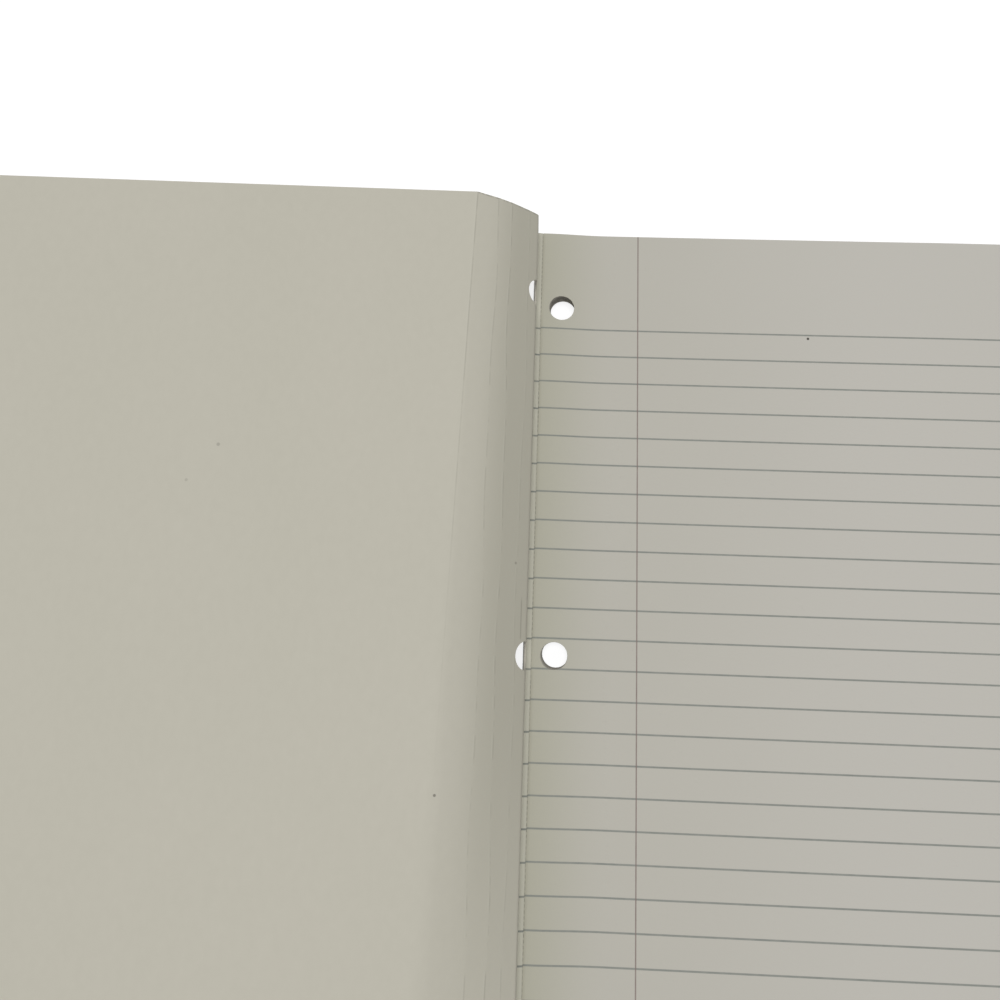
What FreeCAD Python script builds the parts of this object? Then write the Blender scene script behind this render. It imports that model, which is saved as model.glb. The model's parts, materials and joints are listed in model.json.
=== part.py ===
import FreeCAD, Part

import math
import os

from FreeCAD import Placement, Rotation, Vector

# Glue-bound exercise notebook, standing open at its first leaf.
#
# Frame, in millimetres: X runs across the leaves towards the fore-edge, Y runs up
# the leaves from tail to head, and Z rises out of the page. The origin is on the
# axis of the middle punched hole, at the underside of the back cover.
#
# One piece of card makes both covers and the spine. Hot-melt glue holds the spine edge
# of the leaves to it, and both covers hinge at the corners of the spine. The front
# cover is drawn flat and closed first, is cut along its three fold lines, and is then
# folded open.

# ---- leaves ----------------------------------------------------------------
LEAF_HEIGHT = 266.7             # tail to head, 10 1/2 in
TEAR_OUT_WIDTH = 203.2          # perforation to fore-edge, 8 in
LEAF_COUNT = 50
LEAF_THICKNESS = 0.075
STUB_SWELL = 1.3                # the glued edge stands this much above the leaves
PERFORATION_DEPTH = 0.25        # the row of slits dents the top leaf to this depth
PERFORATION_WIDTH = 0.3

# ---- punched holes ---------------------------------------------------------
HOLE_DIAMETER = 8.0
HOLE_SPACING = 107.95           # 4 1/4 in, the usual three-ring spacing
HOLE_COUNT = 3
HOLE_TO_PERFORATION = 6.5

# ---- card and glue ---------------------------------------------------------
CARD_THICKNESS = 0.45
GUTTER_TO_PERFORATION = 2.0     # both covers hinge this far beyond the perforation
SPINE_GLUE = 0.3                # hot-melt glue between the leaves and the spine
STUB_CLEARANCE = 0.15           # closed cover above the glued edge of the leaves

# ---- folds of the front cover ----------------------------------------------
HINGE_STRIP_ANGLE = 90.0        # first strip above the page, in degrees
HOLE_FOLD_ANGLE = 58.0          # second strip, bent back from the first
CREASE_ANGLE = 30.3             # cover, bent back from the second strip
HOLE_FOLD_PAST_HOLES = 1.2      # the fold crosses the holes this far beyond their centres
CREASE_AT_HEAD = 31.0           # gutter to the main crease, along the card
CREASE_AT_TAIL = 39.1           # the same at the tail, because the crease runs askew
FOLD_GAP = 0.1                  # clearance between two strips at their fold
CLOSED_GAP = 0.25               # closed cover above the page, at the fore-edge

# ---- places that follow from the sizes --------------------------------------
HALF_HEIGHT = LEAF_HEIGHT / 2
PERFORATION_X = -HOLE_TO_PERFORATION
GUTTER_X = PERFORATION_X - GUTTER_TO_PERFORATION
STUB_X = GUTTER_X + SPINE_GLUE
FORE_EDGE_X = PERFORATION_X + TEAR_OUT_WIDTH

LEAVES_BOTTOM = CARD_THICKNESS
LEAVES_TOP = LEAVES_BOTTOM + LEAF_COUNT * LEAF_THICKNESS
STUB_TOP = LEAVES_TOP + STUB_SWELL
SPINE_INNER_TOP = STUB_TOP + STUB_CLEARANCE
SPINE_TOP = SPINE_INNER_TOP + CARD_THICKNESS

# The closed front cover starts at the top of the spine and slopes down to the leaves,
# so that it just clears them at the fore-edge.
COVER_REACH = FORE_EDGE_X - GUTTER_X
COVER_DROP = SPINE_INNER_TOP - LEAVES_TOP - CLOSED_GAP
CLOSED_SLOPE = math.degrees(math.atan2(COVER_DROP, COVER_REACH))
COVER_LENGTH = math.hypot(COVER_DROP, COVER_REACH)
COVER_HOLES_AT = -GUTTER_X / math.cos(math.radians(CLOSED_SLOPE))
HOLE_FOLD_AT = COVER_HOLES_AT + HOLE_FOLD_PAST_HOLES

Y_AXIS = Vector(0, 1, 0)


# ---- drawing helpers --------------------------------------------------------
def along_height(wire):
    """A closed profile in the XZ plane, carried from tail to head."""
    wire.translate(Vector(0, -HALF_HEIGHT, 0))
    return Part.Face(wire).extrude(Vector(0, LEAF_HEIGHT, 0))


def polygon(corners):
    """A closed outline through (x, z) corners."""
    points = [Vector(x, 0, z) for x, z in corners]
    return Part.makePolygon(points + points[:1])


def hole_centres():
    """Y of each punched hole, evenly spaced about mid height."""
    middle = (HOLE_COUNT - 1) / 2
    return [(i - middle) * HOLE_SPACING for i in range(HOLE_COUNT)]


def punched(shape, hole_x):
    """The shape with its three holes punched along Z."""
    box = shape.BoundBox
    radius = HOLE_DIAMETER / 2
    length = box.ZLength + HOLE_DIAMETER
    for y in hole_centres():
        foot = Vector(hole_x, y, box.ZMin - radius)
        shape = shape.cut(Part.makeCylinder(radius, length, foot))
    return shape.removeSplitter()


# ---- leaves and glue --------------------------------------------------------
def page_block():
    """All the leaves as one block: a swollen glued edge, a dented perforation and holes."""
    block = along_height(polygon([
        (STUB_X, LEAVES_BOTTOM),
        (FORE_EDGE_X, LEAVES_BOTTOM),
        (FORE_EDGE_X, LEAVES_TOP),
        (PERFORATION_X, LEAVES_TOP),
        (STUB_X, STUB_TOP),
    ]))
    dent = along_height(polygon([
        (PERFORATION_X, LEAVES_TOP - PERFORATION_DEPTH),
        (PERFORATION_X + PERFORATION_WIDTH / 2, LEAVES_TOP + PERFORATION_DEPTH),
        (PERFORATION_X - PERFORATION_WIDTH / 2, LEAVES_TOP + PERFORATION_DEPTH),
    ]))
    return punched(block.cut(dent), 0)


def binding_glue():
    """Hot-melt glue between the spine edge of the leaves and the inside of the spine."""
    return along_height(polygon([
        (GUTTER_X, LEAVES_BOTTOM),
        (STUB_X, LEAVES_BOTTOM),
        (STUB_X, STUB_TOP),
        (GUTTER_X, STUB_TOP),
    ]))


# ---- card cover -------------------------------------------------------------
def spine_wrap():
    """The spine: card that rises at the edge of the leaves, with its two corners rounded.

    Each corner turns about the card's inner face, so its radius is the card's thickness.
    """
    outer_x = GUTTER_X - CARD_THICKNESS
    turn = CARD_THICKNESS * math.sqrt(0.5)
    lower, upper = CARD_THICKNESS, SPINE_INNER_TOP
    outline = [
        Part.Arc(
            Vector(GUTTER_X, 0, 0),
            Vector(GUTTER_X - turn, 0, lower - turn),
            Vector(outer_x, 0, lower),
        ),
        Part.LineSegment(Vector(outer_x, 0, lower), Vector(outer_x, 0, upper)),
        Part.Arc(
            Vector(outer_x, 0, upper),
            Vector(GUTTER_X - turn, 0, upper + turn),
            Vector(GUTTER_X, 0, SPINE_TOP),
        ),
        Part.LineSegment(Vector(GUTTER_X, 0, SPINE_TOP), Vector(GUTTER_X, 0, 0)),
    ]
    return along_height(Part.Wire([edge.toShape() for edge in outline]))


def back_cover():
    """The back cover, flat under the leaves, from its gutter line to the fore-edge."""
    start = GUTTER_X + FOLD_GAP
    corner = Vector(start, -HALF_HEIGHT, 0)
    return punched(Part.makeBox(FORE_EDGE_X - start, LEAF_HEIGHT, CARD_THICKNESS, corner), 0)


def flat_strip(tail_from, head_from, tail_to, head_to):
    """A strip of the flat cover, face down, between two lines across the card.

    Distances run along the card from the gutter line. The outer face lies at Z = 0,
    where the fold lines are, and the inner face below it.
    """
    corners = [
        Vector(tail_from, -HALF_HEIGHT, -CARD_THICKNESS),
        Vector(tail_to, -HALF_HEIGHT, -CARD_THICKNESS),
        Vector(head_to, HALF_HEIGHT, -CARD_THICKNESS),
        Vector(head_from, HALF_HEIGHT, -CARD_THICKNESS),
    ]
    outline = Part.makePolygon(corners + corners[:1])
    return Part.Face(outline).extrude(Vector(0, 0, CARD_THICKNESS))


def turn_about(point, direction, degrees):
    """The placement that turns a shape about a line."""
    return Placement(Vector(0, 0, 0), Rotation(direction, degrees), point)


def crease_line():
    """A point on the main crease at mid height, and its direction, on the flat cover."""
    tail = Vector(CREASE_AT_TAIL, -HALF_HEIGHT, 0)
    head = Vector(CREASE_AT_HEAD, HALF_HEIGHT, 0)
    return (tail + head) * 0.5, (head - tail).normalize()


def open_placements():
    """Where the flat hinge strip, fold strip and front cover go when folded open."""
    gutter = Placement(Vector(GUTTER_X, 0, SPINE_TOP), Rotation(Y_AXIS, -HINGE_STRIP_ANGLE))
    hole_fold = turn_about(Vector(HOLE_FOLD_AT, 0, 0), Y_AXIS, -HOLE_FOLD_ANGLE)
    crease = turn_about(*crease_line(), -CREASE_ANGLE)
    return gutter, gutter * hole_fold, gutter * hole_fold * crease


def front_cover_strips():
    """The front cover cut at its folds, each strip folded open."""
    half_gap = FOLD_GAP / 2
    fold_before = HOLE_FOLD_AT - half_gap
    fold_after = HOLE_FOLD_AT + half_gap
    flat = {
        "hinge_strip": punched(
            flat_strip(FOLD_GAP, FOLD_GAP, fold_before, fold_before), COVER_HOLES_AT
        ),
        "fold_strip": punched(
            flat_strip(fold_after, fold_after, CREASE_AT_TAIL - half_gap, CREASE_AT_HEAD - half_gap),
            COVER_HOLES_AT,
        ),
        "front_cover": flat_strip(
            CREASE_AT_TAIL + half_gap, CREASE_AT_HEAD + half_gap, COVER_LENGTH, COVER_LENGTH
        ),
    }
    strips = {}
    for (name, strip), placement in zip(flat.items(), open_placements()):
        strips[name] = strip.transformed(placement.toMatrix())
    return strips


# ---- the notebook -----------------------------------------------------------
def notebook():
    """Every piece by name, in place."""
    pieces = {
        "page_block": page_block(),
        "binding_glue": binding_glue(),
        "spine_wrap": spine_wrap(),
        "back_cover": back_cover(),
    }
    pieces.update(front_cover_strips())
    return pieces


def single_solid(shape):
    """The one solid in a shape, checked to be sound."""
    solid, = shape.Solids
    if not solid.isValid() or solid.Volume <= 0:
        raise ValueError("a piece isn't a sound solid")
    return solid


os.makedirs("parts", exist_ok=True)
for piece_name, piece in notebook().items():
    solid_piece = single_solid(piece)
    solid_piece.exportStep("parts/" + piece_name + ".step")
    box = solid_piece.BoundBox
    print(f"{piece_name}: {solid_piece.Volume:.1f} mm3, X {box.XMin:.2f} to {box.XMax:.2f},"
          f" Y {box.YMin:.2f} to {box.YMax:.2f}, Z {box.ZMin:.2f} to {box.ZMax:.2f}")
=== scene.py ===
# %% [markdown]
# # A glue-bound notebook, open at its first leaf
#
# Fifty ruled leaves are glued along the spine edge and wrapped in one piece of pale
# card. The front cover is folded back, so that its blank inside faces up beside the
# first leaf. The sizes, the fold lines and the moving bodies come from the packed
# model. This script adds what the solids leave out: separate leaves, printed rules, the
# perforation's slits, and a cover that curves through its folds instead of breaking.
# Everything is in metres, in the model's own frame: X runs across the leaves from the
# spine to the fore-edge, Y runs up them from tail to head, and Z rises out of the page.

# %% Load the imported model
import json
import math

import bpy
import numpy as np
from mathutils import Matrix, Vector


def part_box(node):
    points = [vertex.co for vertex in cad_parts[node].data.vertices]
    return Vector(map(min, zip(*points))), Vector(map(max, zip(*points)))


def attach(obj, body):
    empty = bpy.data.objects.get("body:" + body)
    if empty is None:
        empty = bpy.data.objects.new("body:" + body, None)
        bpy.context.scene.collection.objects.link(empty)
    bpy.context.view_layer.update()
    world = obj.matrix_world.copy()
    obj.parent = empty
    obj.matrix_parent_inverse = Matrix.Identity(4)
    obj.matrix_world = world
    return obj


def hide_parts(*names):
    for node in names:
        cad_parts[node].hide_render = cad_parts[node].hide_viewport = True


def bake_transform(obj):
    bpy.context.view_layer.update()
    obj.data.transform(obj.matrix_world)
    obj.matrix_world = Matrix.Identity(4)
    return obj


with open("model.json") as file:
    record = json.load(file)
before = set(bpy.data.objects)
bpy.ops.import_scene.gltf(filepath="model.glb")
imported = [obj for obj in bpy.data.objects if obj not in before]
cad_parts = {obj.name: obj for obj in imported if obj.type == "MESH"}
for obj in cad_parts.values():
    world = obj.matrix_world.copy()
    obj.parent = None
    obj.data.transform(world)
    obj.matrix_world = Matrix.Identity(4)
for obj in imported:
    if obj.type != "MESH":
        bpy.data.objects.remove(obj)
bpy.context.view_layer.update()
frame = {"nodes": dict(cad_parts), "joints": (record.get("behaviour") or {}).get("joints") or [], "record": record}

MM = 0.001
record = frame["record"]
joints = {j["name"]: j for j in frame["joints"]}


def add_object(name, data):
    """A new object at the origin, from a mesh, a lamp or a camera."""
    made = bpy.data.objects.new(name, data)
    bpy.context.scene.collection.objects.link(made)
    return made


# %% [markdown]
# ## Where things are
#
# A notebook is a stack of dimensions that depend on each other: the perforation sits a
# fixed tear-out width from the fore-edge, and the cover reaches exactly as far as the
# leaves do. Only that width, 8 inches, is written here. The rest is read from the
# solids, the holes and the joints, so nothing has to be fitted by eye.

# %% Read the sizes
block_low, block_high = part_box("page_block")
back_low, back_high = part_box("back_cover")
wrap_low, wrap_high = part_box("spine_wrap")
bores = [mount for mount in record["mounts"] if mount["kind"] == "bore"]

TEAR_OUT_WIDTH = 203.2 * MM
CARD = back_high.z - back_low.z
HOLES_Y = [bore["pos_m"][1] for bore in bores]
HOLE_RADIUS = bores[0]["dims"]["r_mm"] * MM
PAGE_TOP = bores[0]["dims"]["length_mm"] * MM  # the holes run up from Z = 0
STUB_TOP = block_high.z
HALF_HEIGHT = block_high.y
FORE_EDGE_X = block_high.x
STUB_X = block_low.x
PERFORATION_X = FORE_EDGE_X - TEAR_OUT_WIDTH

gutter_joint = joints["gutter_fold"]
hole_fold_pos = Vector(joints["hole_fold"]["pos_m"])
ratios = {c["joint"]: c["ratio"] for c in record["behaviour"]["couplings"]}
GUTTER = Vector(gutter_joint["pos_m"])
CLOSED_DEG = gutter_joint["range_deg"][1]
CLOSED_SLOPE = math.radians(CLOSED_DEG - 90)
GUTTER_ANGLE = math.radians(90)
HOLE_FOLD_ANGLE = math.radians(CLOSED_DEG * ratios["hole_fold"])
CREASE_ANGLE = math.radians(CLOSED_DEG * ratios["crease_fold"])
HOLE_FOLD_AT = (hole_fold_pos - GUTTER).length
COVER_LENGTH = (FORE_EDGE_X - GUTTER.x) / math.cos(CLOSED_SLOPE)
COVER_HOLES_AT = -GUTTER.x / math.cos(CLOSED_SLOPE)
print(f"leaves {FORE_EDGE_X - STUB_X:.4f} by {2 * HALF_HEIGHT:.4f} m")
print(f"cover reaches {COVER_LENGTH:.4f} m")

# %% [markdown]
# ## The camera
#
# The notebook is seen from above, a little from the tail, so the camera looks down with
# a slight tilt. Its turn is written as one vector: the direction is the axis to turn
# about, and the length is the angle.

# %% Camera
CAMERA_PLACE = Vector((-0.0112, 0.0048, 0.2278))
CAMERA_TURN = Vector([math.radians(a) for a in (10.39, 1.37, 1.96)])

camera = add_object("camera", bpy.data.cameras.new("camera"))
camera.data.sensor_width = 36
camera.data.lens = 27
camera.data.clip_start = 0.01
turned = Matrix.Rotation(CAMERA_TURN.length, 4, CAMERA_TURN.normalized())
camera.matrix_world = Matrix.Translation(CAMERA_PLACE) @ turned
bpy.context.scene.camera = camera
bpy.context.scene.view_settings.view_transform = "Standard"

# %% [markdown]
# ## The lamp
#
# The main light is a wide round lamp high overhead, a little to the left and towards the
# head. It is soft, so the raised cover throws no hard shadow on the leaves, only a
# narrow shade along the gutter, and the strips of the cover grow darker as they grow
# steeper.

# %% Lamp
KEY_FROM_UPRIGHT = 3
KEY_TOWARDS_HEAD = 0.06
KEY_DISTANCE = 2.0
KEY_SIZE = 0.9
KEY_POWER = 22.7

key = add_object("key_lamp", bpy.data.lights.new("key_lamp", "AREA"))
key.data.shape = "DISK"
key.data.size = KEY_SIZE
key.data.energy = KEY_POWER
leftwards = Matrix.Rotation(math.radians(-KEY_FROM_UPRIGHT), 3, "Y")
towards = leftwards @ Vector((0, KEY_TOWARDS_HEAD, 1))
key.location = towards * KEY_DISTANCE
key.rotation_euler = towards.to_track_quat("Z", "Y").to_euler()
print("lamp at", [round(v, 3) for v in key.location])

# %% [markdown]
# ## Wiring nodes in Python
#
# Materials and geometry node trees are written here as ordinary expressions. `Number`
# wraps a socket and adds a Math node for each operator, and `Nodes.node` adds any
# other node from its type, the values or links of its sockets, and its settings, which
# are set first. Both serve shader trees and geometry trees alike.

# %% Node helpers
def math_node(operation, reflected=False):
    """A method that adds one Math node. A reflected one takes the other value first."""
    def method(self, *others):
        values = (*others, self) if reflected else (self, *others)
        sockets = dict(enumerate(values))
        return self.nodes.node("ShaderNodeMath", sockets, operation=operation).number()
    return method


class Number:
    """A number in a node tree. Arithmetic on it adds Math nodes."""

    def __init__(self, nodes, socket):
        self.nodes = nodes
        self.socket = socket

    __add__ = __radd__ = math_node("ADD")
    __sub__ = math_node("SUBTRACT")
    __rsub__ = math_node("SUBTRACT", reflected=True)
    __mul__ = __rmul__ = math_node("MULTIPLY")
    __truediv__ = math_node("DIVIDE")
    __abs__ = math_node("ABSOLUTE")
    __gt__ = math_node("GREATER_THAN")
    __lt__ = math_node("LESS_THAN")
    __round__ = math_node("ROUND")

    def fade(self, near, far):
        """1 up to near, 0 past far, and smooth between. far may be the smaller one."""
        sockets = {"Value": self, "From Min": near, "From Max": far, "To Min": 1.0, "To Max": 0.0}
        made = self.nodes.node("ShaderNodeMapRange", sockets, interpolation_type="SMOOTHSTEP")
        return made.number()

    def within(self, reach, rim):
        """1 inside reach, and its rim fades between two shares of that."""
        return self.fade(reach * rim[0], reach * rim[1])


class Made:
    """A node that was added, and its outputs."""

    def __init__(self, nodes, made):
        self.nodes = nodes
        self.made = made

    def out(self, name=0):
        return self.made.outputs[name]

    def number(self, name=0):
        return Number(self.nodes, self.made.outputs[name])


class Nodes:
    """A node tree being written."""

    def __init__(self, tree):
        self.tree = tree
        tree.nodes.clear()

    def node(self, kind, sockets=None, **settings):
        """Any node. A socket gets a value or a link, by its name or its number."""
        made = self.tree.nodes.new(kind)
        for name, value in settings.items():
            setattr(made, name, value)
        for name, value in (sockets or {}).items():
            self.join(value, made.inputs[name])
        return Made(self, made)

    def join(self, value, socket):
        if isinstance(value, Number):
            value = value.socket
        if isinstance(value, Made):
            value = value.out()
        if isinstance(value, bpy.types.NodeSocket):
            self.tree.links.new(value, socket)
        else:
            socket.default_value = value

    def vector(self, **axes):
        """A vector from numbers, with axes named X, Y and Z."""
        return self.node("ShaderNodeCombineXYZ", axes)

    def split(self, vector):
        """The three numbers of a vector."""
        made = self.node("ShaderNodeSeparateXYZ", {0: vector})
        return [made.number(axis) for axis in "XYZ"]

    def vectors(self, operation, *values, **named):
        """Arithmetic on whole vectors."""
        sockets = {**dict(enumerate(values)), **named}
        return self.node("ShaderNodeVectorMath", sockets, operation=operation)

    def mixed(self, share, first, second):
        """A colour between two colours."""
        sockets = {"Factor": share, 6: first, 7: second}
        return self.node("ShaderNodeMix", sockets, data_type="RGBA").out(2)


def shade(red, green, blue):
    """A colour as a screen shows it, from 0 to 255, for a node."""
    def linear(value):
        value = value / 255
        return value / 12.92 if value <= 0.04045 else ((value + 0.055) / 1.055) ** 2.4
    return (linear(red), linear(green), linear(blue), 1.0)


# %% [markdown]
# ## The sky and the floor
#
# An even sky fills what the lamp leaves dark. It is white to the camera, whatever light
# it gives. The table is a plain pale floor, and Light Path says who looks at it: light
# that bounces meets a pale matt floor, while the camera and reflections see a darker
# one with a glow added, which comes out white. The darker floor still takes the lamp's
# light, so the notebook's own soft shadow shows on it.

# %% Sky and floor
SKY_LIGHT = 0.4
FLOOR_PALE = 0.85
FLOOR_DARKENED = 0.6
FLOOR_GLOW = 0.82
FLOOR_Z = -0.6 * MM
FLOOR_REACH = 3.0
WHITE = (1, 1, 1, 1)

world = bpy.data.worlds.new("studio")
bpy.context.scene.world = world
world.use_nodes = True
sky = Nodes(world.node_tree)
white_seen = sky.node("ShaderNodeLightPath").number("Is Camera Ray")
light = sky.node("ShaderNodeBackground", {"Color": WHITE, "Strength": SKY_LIGHT})
plain = sky.node("ShaderNodeBackground", {"Color": WHITE, "Strength": 1.0})
chosen = sky.node("ShaderNodeMixShader", {0: white_seen, 1: light, 2: plain})
sky.node("ShaderNodeOutputWorld", {"Surface": chosen})

floor_material = bpy.data.materials.new("floor")
floor_material.use_nodes = True
ground = Nodes(floor_material.node_tree)
rays = ground.node("ShaderNodeLightPath")
reflected = rays.number("Is Glossy Ray")
looked_at = rays.number("Is Camera Ray") + reflected + rays.number("Is Transmission Ray")
in_light = looked_at * -FLOOR_DARKENED + FLOOR_PALE
grey = ground.vector(X=in_light, Y=in_light, Z=in_light)
matt = ground.node("ShaderNodeBsdfDiffuse", {"Color": grey})
glow = ground.node("ShaderNodeEmission", {"Color": WHITE, "Strength": looked_at * FLOOR_GLOW})
both = ground.node("ShaderNodeAddShader", {0: matt, 1: glow})
ground.node("ShaderNodeOutputMaterial", {"Surface": both})

corners = ((-1, -1), (1, -1), (1, 1), (-1, 1))
floor_mesh = bpy.data.meshes.new("floor")
floor_mesh.from_pydata(
    [(x * FLOOR_REACH, y * FLOOR_REACH, FLOOR_Z) for x, y in corners], [], [(0, 1, 2, 3)]
)
floor_mesh.materials.append(floor_material)
floor = add_object("floor", floor_mesh)
print("floor at", FLOOR_Z)


# %% [markdown]
# ## Paper and card
#
# Both are pressed fibre, so both get the same treatment at different scales: a faint
# clouding of the colour, fine fibres in the bump, and no gloss to speak of. The leaves
# stay flat, so their patterns read Object coordinates. The card's patterns follow the
# sheet through its folds, so they read two attributes instead, in millimetres: `flat`
# holds the distance from the gutter, the height, and the distance from the main crease,
# and `soft` holds the distances from the three soft creases.

# %% Fibre
SPOT_RIM = (0.7, 1.2)  # shares of a spot's radius


def fibre_surface(name, build):
    """A new material. build gets the nodes and returns colour, roughness, height and depth."""
    material = bpy.data.materials.new(name)
    material.use_nodes = True
    nodes = Nodes(material.node_tree)
    colour, roughness, height, depth = build(nodes)
    relief = {"Strength": 1.0, "Distance": depth, "Height": height}
    surface = nodes.node("ShaderNodeBsdfPrincipled", {
        "Base Color": colour,
        "Roughness": roughness,
        "Specular IOR Level": 0.3,
        "Sheen Weight": 0.08,
        "Sheen Roughness": 0.6,
        "Normal": nodes.node("ShaderNodeBump", relief),
    })
    nodes.node("ShaderNodeOutputMaterial", {"Surface": surface})
    return material


def on_leaves(nodes):
    """Object coordinates in millimetres."""
    place = nodes.node("ShaderNodeTexCoord").out("Object")
    return nodes.vectors("SCALE", place, Scale=1 / MM).out()


def on_card(nodes, attribute="flat"):
    """One of the card's two attributes."""
    return nodes.node("ShaderNodeAttribute", attribute_name=attribute).out("Vector")


def cloud(nodes, place, size, detail=2.0, stretch=(1, 1, 1)):
    """Noise about size millimetres across, from 0 to 1."""
    place = nodes.node("ShaderNodeMapping", {"Vector": place, "Scale": stretch})
    sockets = {"Vector": place, "Scale": 1.0 / size, "Detail": detail}
    return nodes.node("ShaderNodeTexNoise", sockets).number()


def near_spot(nodes, place, x, y, radius):
    """1 inside a small spot."""
    flat = nodes.vectors("MULTIPLY", nodes.vectors("SUBTRACT", place, (x, y, 0)), (1, 1, 0))
    return nodes.vectors("LENGTH", flat).number("Value").within(radius, SPOT_RIM)


# %% [markdown]
# ## The printed leaf
#
# Wide ruling is 27 thin rules, 11/32 inch apart, from 32 mm below the head, in a grey
# that leans to blue, and one faded reddish margin rule 30.6 mm from the perforation.
# The rules run from edge to edge, and step a little where they cross the perforation,
# because the leaf has slipped against its stub. Each one is a distance test in the
# shader, so it stays crisp at any size. The ink is a little uneven, as offset ink on
# absorbent paper is. The paper has painted shade beside the gutter, darker and yellower,
# and painted light in the stub and towards the fore-edge, paler.

# %% Ruled paper
RULE_PITCH = 8.731
RULE_COUNT = 27
RULE_WIDTH = 0.52
FIRST_RULE_Y = HALF_HEIGHT / MM - 32.25
MARGIN_X = PERFORATION_X / MM + 30.6
MARGIN_WIDTH = 0.38
INK_RIM = (0.35, 0.65)  # shares of a line's width
RULE_STRENGTH, RULE_UNEVEN = 0.72, 0.4
MARGIN_STRENGTH, MARGIN_UNEVEN = 0.66, 0.3
STUB_SLIP = 0.31
SLIP_RIM = 0.2

PAPER = shade(184, 181, 171)
PAPER_WARM = shade(188, 185, 175)
# Painted light: the paper is paler towards the fore-edge.
PAPER_FAR_LIGHT = shade(192, 189, 181)
# Painted shade: the paper is darker and yellower beside the gutter.
PAPER_GUTTER_SHADE = shade(177, 175, 160)
# Painted light: the paper is paler in the stub.
PAPER_STUB_LIGHT = shade(198, 196, 181)
RULE_INK = shade(134, 137, 131)
MARGIN_INK = shade(129, 114, 109)
SPECK = shade(70, 66, 60)

FAR_LIGHT_FADE = (15.0, 110.0)
GUTTER_SHADE_FADE = (-8.0, 18.0)
STUB_LIGHT_RIM = 0.4
LEAF_FLECK = (77.1, 100.0, 0.42)  # x, y and radius of a dark fleck in the paper


def ruled_paper(nodes):
    place = on_leaves(nodes)
    x, y, _ = nodes.split(place)
    perforation = PERFORATION_X / MM
    slipped = x.fade(perforation - SLIP_RIM, perforation + SLIP_RIM) * STUB_SLIP
    row = (FIRST_RULE_Y - y - slipped) / RULE_PITCH
    from_rule = abs(row - round(row)) * RULE_PITCH
    printed = (row > -0.5) * (row < RULE_COUNT - 0.5)
    uneven = cloud(nodes, place, 2.5, 3.0)
    rule = from_rule.within(RULE_WIDTH, INK_RIM) * printed
    rule = rule * (RULE_STRENGTH + uneven * RULE_UNEVEN)
    margin = abs(x - MARGIN_X).within(MARGIN_WIDTH, INK_RIM)
    margin = margin * (MARGIN_STRENGTH + uneven * MARGIN_UNEVEN)
    base = nodes.mixed(cloud(nodes, place, 55.0), PAPER, PAPER_WARM)
    # Painted light towards the fore-edge.
    base = nodes.mixed(1 - x.fade(*FAR_LIGHT_FADE), base, PAPER_FAR_LIGHT)
    # Painted shade beside the gutter.
    base = nodes.mixed(x.fade(*GUTTER_SHADE_FADE), base, PAPER_GUTTER_SHADE)
    # Painted light in the stub.
    base = nodes.mixed(x.fade(perforation - STUB_LIGHT_RIM, perforation), base, PAPER_STUB_LIGHT)
    inks = nodes.mixed(margin, nodes.mixed(rule, base, RULE_INK), MARGIN_INK)
    marked = nodes.mixed(near_spot(nodes, place, *LEAF_FLECK), inks, SPECK)
    fibres = cloud(nodes, place, 0.25, 3.0, (1, 2.5, 1)) + cloud(nodes, place, 1.6, 2.0)
    return marked, 0.82 - uneven * 0.08, fibres, 0.012 * MM


ruled = fibre_surface("ruled_paper", ruled_paper)
print(f"first rule at Y {FIRST_RULE_Y:.1f} mm, margin at X {MARGIN_X:.1f} mm")

# %% [markdown]
# ## The other leaves
#
# Of the leaves below only the edges and the walls of the holes are seen. Noise that is
# long across the leaves and thin along Z gives each leaf its own tint, and the cut paper
# round the holes is darker with painted shade.

# %% Plain paper
LEAF_DARK, LEAF_PALE = shade(176, 172, 161), shade(196, 192, 182)
# Painted shade on the walls of the holes.
LEAF_HOLE_SHADE = shade(92, 88, 78)
HOLE_SHADE_SHARE = 0.8
HOLE_SHADE_AT_X = 0.3
HOLE_SHADE_RIM = 0.2
LAYERED = (0.05, 0.05, 4.0)


def leaf_paper(nodes):
    place = on_leaves(nodes)
    tint = cloud(nodes, place, 0.35, 2.0, LAYERED)
    base = nodes.mixed(tint, LEAF_DARK, LEAF_PALE)
    reach = HOLE_RADIUS / MM + HOLE_SHADE_RIM
    holes = sum(near_spot(nodes, place, HOLE_SHADE_AT_X, y / MM, reach) for y in HOLES_Y)
    # Painted shade round the holes.
    hole_shaded = nodes.mixed(holes * HOLE_SHADE_SHARE, base, LEAF_HOLE_SHADE)
    fibres = cloud(nodes, place, 0.2, 2.0)
    return hole_shaded, 0.85 - tint * 0.05, fibres, 0.01 * MM


plain_leaf = fibre_surface("leaf_paper", leaf_paper)
print("plain leaf:", len(plain_leaf.node_tree.nodes), "nodes")

# %% [markdown]
# ## The inside of the card
#
# The inside of the cover is uncoated: warm, matt and slightly clouded. Shade is painted
# on the strip between the fold across the holes and the main crease, more towards the
# head than at the tail. Each crease is a broken darker line of painted shade, with a
# painted highlight along its far side. The card is darker along the head edge as far
# as the main crease, a short line of painted shadow lies above the middle hole, and a
# few dark flecks lie in the card.

# %% Card inside
CARD_INSIDE = shade(190, 187, 173)
CARD_INSIDE_WARM = shade(194, 190, 177)
# Painted shade on the strip between the hole fold and the main crease.
CARD_STRIP_SHADE = shade(172, 169, 155)
# Darker card: for the random mottling, the darker head edge, and painted shade.
CARD_MOTTLE_AND_SHADE = shade(150, 147, 134)
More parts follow.
